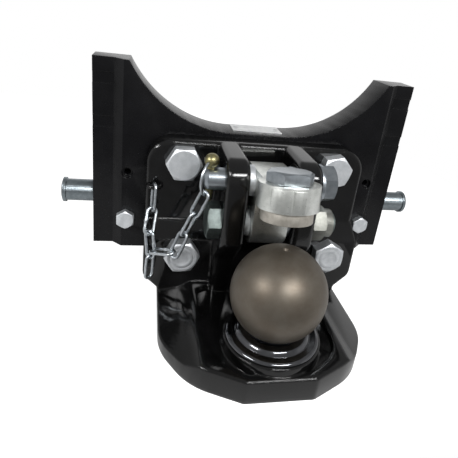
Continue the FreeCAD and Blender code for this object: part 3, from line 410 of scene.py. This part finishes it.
def rounded_copy(node, material, radius):
    """A copy of a solid with its facets joined and its edges rounded."""
    mesh = frame["nodes"][node].data.copy()
    mesh.name = node + "_rounded"
    work = bmesh.new()
    work.from_mesh(mesh)
    bmesh.ops.remove_doubles(work, verts=work.verts, dist=SAME_POINT)
    bmesh.ops.dissolve_limit(work, angle_limit=FLAT_ENOUGH, verts=work.verts, edges=work.edges)
    for face in work.faces:
        face.smooth = True
    work.to_mesh(mesh)
    work.free()
    thing = piece(node + "_rounded", mesh, material, body_of_node(node), node)
    round_edges(thing, "rounded_edges", radius, 3)


# %% Rounded pieces
# The finish of each solid, and the radius of its edges in mm.
ROUNDED = {
    "carrier_plate": (plate_enamel, 0.7),
    "nameplate": (brushed_aluminium, 0.15),
    "nameplate_rivet_left": (brushed_aluminium, 0.2),
    "nameplate_rivet_right": (brushed_aluminium, 0.2),
    "ball_bracket": (casting_paint, 0.9),
    "ball_nut": (zinc_plate, 0.4),
    "side_pin_left": (zinc_turned, 0.4),
    "side_pin_right": (zinc_turned, 0.4),
    "pivot_bolt": (zinc_grey, 0.5),
    "pivot_nut": (zinc_flake, 0.5),
    "locking_pin": (zinc_plate, 0.5),
    "locking_washer": (zinc_plate, 0.4),
    "lynch_pin": (yellow_zinc, 0.3),
    "hold_down_arm": (zinc_casting, 1.2),
    # The bushes are the same parts on both sides. The right ones take the darker bright zinc as painted
    # shade, and the left ones keep the whiter dull zinc.
    "bush_upper_left": (zinc_dull, 0.4),
    "bush_upper_right": (zinc_plate, 0.4),
    "bush_lower_left": (zinc_dull, 0.4),
    "bush_lower_right": (zinc_plate, 0.4),
    "hold_down_screw": (zinc_plate, 0.5),
    "hold_down_pad": (pad_steel, 0.6),
}
for node, (material, radius) in ROUNDED.items():
    rounded_copy(node, material, radius)
print("rounded copies:", len(ROUNDED))

# %% [markdown]
# ## Hexagon heads
# The big heads fill a good part of the picture, so they get the shape that a die and a lathe leave:
# a flat round top with a shallow ring in it, corners turned off at 30 degrees, and a plain shank. A
# head is one mesh of rings. Each ring has the same number of points, and the outer rings follow the
# hexagon instead of a circle. Two of the heads show a dish in the middle, the others are flat.

# %% A mesh from points
MERGE_DISTANCE = 0.0005 * MM


def shaped_mesh(name, verts, faces):
    """A smooth mesh of points and faces, with doubled points joined and all faces outward."""
    mesh = bpy.data.meshes.new(name)
    mesh.from_pydata(verts, [], faces)
    work = bmesh.new()
    work.from_mesh(mesh)
    bmesh.ops.remove_doubles(work, verts=work.verts, dist=MERGE_DISTANCE)
    bmesh.ops.dissolve_degenerate(work, edges=work.edges, dist=MERGE_DISTANCE)
    bmesh.ops.recalc_face_normals(work, faces=work.faces)
    for face in work.faces:
        face.smooth = True
    work.to_mesh(mesh)
    work.free()
    return mesh


def turned_faces(steps, count):
    """The faces of a lathe piece: a line of points, repeated in steps round its axis."""
    faces = []
    for k in range(steps):
        here, after = k * count, (k + 1) % steps * count
        for i in range(count - 1):
            faces.append((here + i, after + i, after + i + 1, here + i + 1))
    return faces


# %% Heads and screws
HEAD_STEPS = 96
FLAT_TOP = 0.94
HEAD_CHAMFER = math.pi / 6
SHANK_CHAMFER = 0.8


def hex_screw(node, material, dish):
    """A screw that points along +Y, as lines of points from the middle of its head to its end."""
    points = np.array([v.co for v in frame["nodes"][node].data.vertices]) / MM
    low, high = points.min(0), points.max(0)
    middle = (low + high) / 2
    reach = np.hypot(points[:, 0] - middle[0], points[:, 2] - middle[2])
    corner = reach.max()
    farthest = points[reach.argmax()]
    corner_angle = math.atan2(farthest[2] - middle[2], farthest[0] - middle[0])
    flat = corner * math.cos(math.pi / 6)
    height = points[reach > 0.97 * flat][:, 1].max() - low[1]
    shank = reach[points[:, 1] > high[1] - 0.5].max()
    top, end = FLAT_TOP * flat, high[1] - low[1]
    rings = [(0.0, dish), (0.42 * flat, dish), (0.50 * flat, dish * 0.3), (0.54 * flat, 0.0),
             (0.70 * flat, 0.0), (0.73 * flat, dish * 0.3), (0.76 * flat, 0.0), (top, 0.0)]
    verts = []
    for k in range(HEAD_STEPS):
        angle = 2 * math.pi * k / HEAD_STEPS
        side = flat / math.cos(angle % (math.pi / 3) - math.pi / 6)
        outline = rings + [(side, (side - top) * math.tan(HEAD_CHAMFER)), (side, height),
                           (shank, height), (shank, end - SHANK_CHAMFER),
                           (shank - SHANK_CHAMFER, end), (0.0, end)]
        across, up = math.cos(angle + corner_angle), math.sin(angle + corner_angle)
        for radius, depth in outline:
            verts.append(((middle[0] + radius * across) * MM, (low[1] + depth) * MM,
                          (middle[2] + radius * up) * MM))
    mesh = shaped_mesh(node + "_turned", verts, turned_faces(HEAD_STEPS, len(outline)))
    screw = piece(node + "_turned", mesh, material, body_of_node(node), node)
    round_edges(screw, "worn_edges", 0.3, 2)
    return round(flat * 2, 2)


# The number is how deep the middle of the head is dished, in mm.
for node, dish in (("flange_bolt_upper_left", 0.0), ("flange_bolt_upper_right", 0.0),
                   ("flange_bolt_lower_left", 0.5), ("flange_bolt_lower_right", 0.4),
                   ("side_bolt_left", 0.2), ("side_bolt_right", 0.2)):
    print(node, "is", hex_screw(node, zinc_dull, dish), "mm across its flats")

# %% [markdown]
# ## The turned ball
# The ball is one forging, turned on a lathe with its collar. A lathe piece is a profile spun round
# the vertical axis, so the script lists the profile and spins it. The ball's own surface is matt
# brown phosphate, and the collar below it is turned bright and blackened, so the two share the mesh
# with two finishes. The collar's steep round catches the lamp in one wide light, as its rim does.


# %% Spinning and shading
def spun(profile, steps):
    """A closed profile of (radius, height) in mm, spun round the Z axis into a mesh."""
    verts = []
    for k in range(steps):
        angle = 2 * math.pi * k / steps
        for radius, height in profile:
            verts.append((radius * MM * math.cos(angle), radius * MM * math.sin(angle), height * MM))
    return shaped_mesh("spun", verts, turned_faces(steps, len(profile)))


def smooth_by_angle(mesh, degrees):
    """Keeps an edge sharp where its two faces turn by more than the angle."""
    work = bmesh.new()
    work.from_mesh(mesh)
    for edge in work.edges:
        if len(edge.link_faces) == 2:
            edge.smooth = edge.calc_face_angle() < math.radians(degrees)
    work.to_mesh(mesh)
    work.free()


def arc(start, radius, from_slope, to_slope, hollow=1):
    """Points of a round from one slope of the surface's normal to another, in degrees."""
    centre_r = start[0] - hollow * radius * math.cos(math.radians(from_slope))
    centre_z = start[1] - hollow * radius * math.sin(math.radians(from_slope))
    for k in range(1, 9):
        slope = math.radians(from_slope + (to_slope - from_slope) * k / 8)
        yield (centre_r + hollow * radius * math.cos(slope), centre_z + hollow * radius * math.sin(slope))


# %% Ball and collar
BALL = 40.0
NECK_HEIGHT = -33.2
BALL_STEPS = 72
SPIN_STEPS = 144

# The lathe's centre hole comes first, then the ball, its short neck, and the collar.
profile = [(0.0, BALL - 3.0), (1.2, BALL - 2.2), (2.2, BALL - 0.35), (2.7, BALL - 0.10)]
first = math.asin(3.2 / BALL)
last = math.acos(NECK_HEIGHT / BALL)
for k in range(BALL_STEPS + 1):
    polar = first + (last - first) * k / BALL_STEPS
    profile.append((BALL * math.sin(polar), BALL * math.cos(polar)))
neck_radius = profile[-1][0]
profile += [(neck_radius, NECK_HEIGHT - 0.5), (neck_radius + 0.5, NECK_HEIGHT - 0.9),
            (neck_radius + 1.6, NECK_HEIGHT - 1.1)]
profile.append((28.0, NECK_HEIGHT - 1.7))
profile += arc(profile[-1], 3.0, 88, 42)
profile += arc(profile[-1], 10.0, 42, 22)
profile += arc(profile[-1], 0.3, 22, 86, hollow=-1)
# The collar's rim, and the shank with its lower end, which the bracket hides.
profile += [(36.6, -38.75), (37.6, -38.9), (38.5, -39.25), (39.2, -39.8), (39.7, -40.45),
            (39.9, -41.1), (39.0, -41.3), (38.6, -41.4), (38.5, -42.0), (19.0, -42.0),
            (19.0, -56.0), (18.0, -56.2), (18.0, -70.0), (17.0, -71.0), (0.0, -71.0)]
ball_mesh = spun(profile, SPIN_STEPS)
piece("tow_ball_turned", ball_mesh, ball_steel, body_of_node("tow_ball"), "tow_ball")
ball_mesh.materials.append(collar_steel)
for face in ball_mesh.polygons:
    face.material_index = 1 if face.center.z < (NECK_HEIGHT + 0.5) * MM else 0
smooth_by_angle(ball_mesh, 40)
print("ball:", len(ball_mesh.polygons), "faces")

# %% [markdown]
# ## Chain links and ring
# A link is a round wire bent to a long loop, with its ends welded in the middle of one side. Each
# solid link tells its centre and its two long directions through its own points, so the wire can be
# swept again with more sides, and with the small swelling of the weld.


# %% Swept wire loops
def own_axes(node):
    """Centre of a node and its directions, longest first, in metres."""
    points = np.array([v.co for v in frame["nodes"][node].data.vertices])
    low, high = points.min(0), points.max(0)
    centre = points.mean(0)
    values, vectors = np.linalg.eigh(np.cov((points - centre).T))
    long, wide = vectors[:, 2], vectors[:, 1]
    along = (points - centre) @ long
    across = (points - centre) @ wide
    centre = centre + long * (along.max() + along.min()) / 2 + wide * (across.max() + across.min()) / 2
    size = (along.max() - along.min(), across.max() - across.min())
    return Vector(centre), Vector(long), Vector(wide), size


def swept_loop(path, normal, radii, sides=14):
    """A closed tube of the given radii round a flat path."""
    verts, faces = [], []
    count = len(path)
    for i, point in enumerate(path):
        ahead = (path[(i + 1) % count] - path[i - 1]).normalized()
        out = ahead.cross(normal)
        for k in range(sides):
            angle = 2 * math.pi * k / sides
            verts.append(point + (out * math.cos(angle) + normal * math.sin(angle)) * radii[i])
    for i in range(count):
        j = (i + 1) % count
        for k in range(sides):
            m = (k + 1) % sides
            faces.append((i * sides + k, j * sides + k, j * sides + m, i * sides + m))
    return shaped_mesh("loop", verts, faces)


# %% Chain links
LINK_WIRE = 3.0
WELD_SWELLING = 0.35
BEND_STEPS = 16
SIDE_STEPS = 12

for number in range(1, 9):
    node = "chain_link_%d" % number
    centre, long, wide, size = own_axes(node)
    bend = size[1] / 2 - LINK_WIRE / 2 * MM
    straight = size[0] / 2 - size[1] / 2
    path, radii = [], []
    for side in (1, -1):
        for k in range(BEND_STEPS + 1):
            angle = -math.pi / 2 + math.pi * k / BEND_STEPS
            reach = long * side * (straight + bend * math.cos(angle))
            path.append(centre + reach + wide * side * bend * math.sin(angle))
            radii.append(LINK_WIRE / 2 * MM)
        for k in range(1, SIDE_STEPS):
            share = 1 - 2 * k / SIDE_STEPS
            path.append(centre + long * side * straight * share + wide * side * bend)
            swelling = WELD_SWELLING * math.exp(-(share * 4.5) ** 2) if side == 1 else 0.0
            radii.append((LINK_WIRE / 2 + swelling) * MM)
    loop = swept_loop(path, long.cross(wide).normalized(), radii)
    piece(node + "_wire", loop, zinc_wire, body_of_node(node), node)
print("links of", LINK_WIRE, "mm wire:", number)

# %% Ring and eye
RING_WIRE = 2.6
RING_STEPS = 72

centre, long, wide, size = own_axes("lynch_ring")
ring_radius = size[0] / 2 - RING_WIRE / 2 * MM
path = [centre + long * ring_radius * math.cos(a) + wide * ring_radius * math.sin(a)
        for a in [2 * math.pi * k / RING_STEPS for k in range(RING_STEPS)]]
loop = swept_loop(path, long.cross(wide).normalized(), [RING_WIRE / 2 * MM] * RING_STEPS)
piece("lynch_ring_wire", loop, zinc_wire, body_of_node("lynch_ring"), "lynch_ring")

# The eye's own solid is right as it is, and it was painted with the bracket.
frame["nodes"]["chain_eye"].data.materials.clear()
frame["nodes"]["chain_eye"].data.materials.append(casting_paint)
print("ring radius", round(ring_radius * 1000, 2), "mm")
